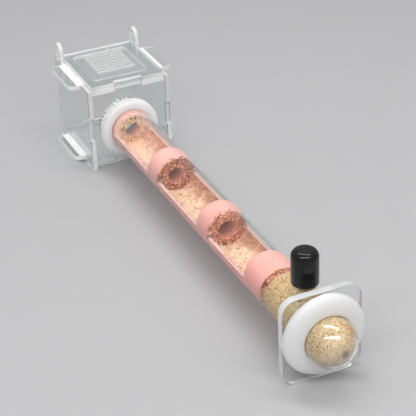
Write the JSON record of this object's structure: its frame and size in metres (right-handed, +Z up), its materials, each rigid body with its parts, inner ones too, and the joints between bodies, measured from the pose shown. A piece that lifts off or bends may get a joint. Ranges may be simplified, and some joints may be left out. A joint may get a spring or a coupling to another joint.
{
  "type": "ant habitat",
  "caption": "Clear foraging box with a vented hinged lid, joined by a serrated collar to a horizontal glass nest tube with cast chambers, a capped side nozzle and a clear stand plate.",
  "frame": {"origin": "middle of the whole object's box, on the surface that it stands on", "axes": "+Z up; +Y along the tube, from its round end towards the back of the foraging box; +X to the right for someone who looks along +Y"},
  "size_m": [0.076, 0.375, 0.0735],
  "materials": {
    "acrylic": "clear, glossy, with bright cut edges",
    "white_plastic": "satin white",
    "seal_rubber": "matte",
    "white_rubber": "smooth satin white",
    "glass": "clear, polished",
    "black_vinyl": "glossy black",
    "plaster": "matte pink plaster",
    "pale_sand": "loose beige sand",
    "lining_sand": "fine pinkish sand",
    "red_sand": "coarse red-brown sand"
  },
  "bodies": {
    "box": {"left_side_panel": "acrylic", "right_side_panel": "acrylic", "front_panel": "acrylic", "back_panel": "acrylic", "floor_plate": "acrylic", "top_frame": "acrylic", "tube_collar": "white_plastic", "collar_nut": "acrylic"},
    "lid": {"lid": "acrylic"},
    "seal": {"mouth_seal": "seal_rubber"},
    "tube": {"glass_tube": "glass", "entrance_wall": "plaster", "entrance_facing": "pale_sand", "tunnel_wall_1": "plaster", "wall_facing_1": "red_sand", "tunnel_wall_2": "plaster", "wall_facing_2": "red_sand", "end_wall": "plaster", "sand_band": "red_sand", "sand_fill": "pale_sand", "chamber_bed_1": "plaster", "chamber_bed_2": "plaster", "chamber_bed_3": "plaster", "chamber_sand_1": "lining_sand", "chamber_sand_2": "lining_sand", "chamber_sand_3": "lining_sand"},
    "stand": {"stand_plate": "acrylic", "grip_ring": "white_rubber"},
    "cap": {"nozzle_cap": "black_vinyl"}
  },
  "joints": [
    {"name": "lid_hinge", "type": "hinge", "parent": "box", "child": "lid", "pos_m": [0, 0.1815, 0.0617], "axis": [-1, 0, 0], "range_deg": [0, 95]},
    {"name": "tube_pull", "type": "slide", "parent": "box", "child": "seal", "axis": [0, -1, 0], "range_m": [0, 0.012]},
    {"name": "tube_turn", "type": "hinge", "parent": "seal", "child": "tube", "pos_m": [-0.0025, 0.1215, 0.029], "axis": [0, 1, 0], "range_deg": [-110, 110]},
    {"name": "stand_slide", "type": "slide", "parent": "seal", "child": "stand", "axis": [0, -1, 0], "range_m": [-0.005, 0.033]},
    {"name": "cap_pull", "type": "slide", "parent": "tube", "child": "cap", "axis": [0, 0, 1], "range_m": [0, 0.022]}
  ]
}
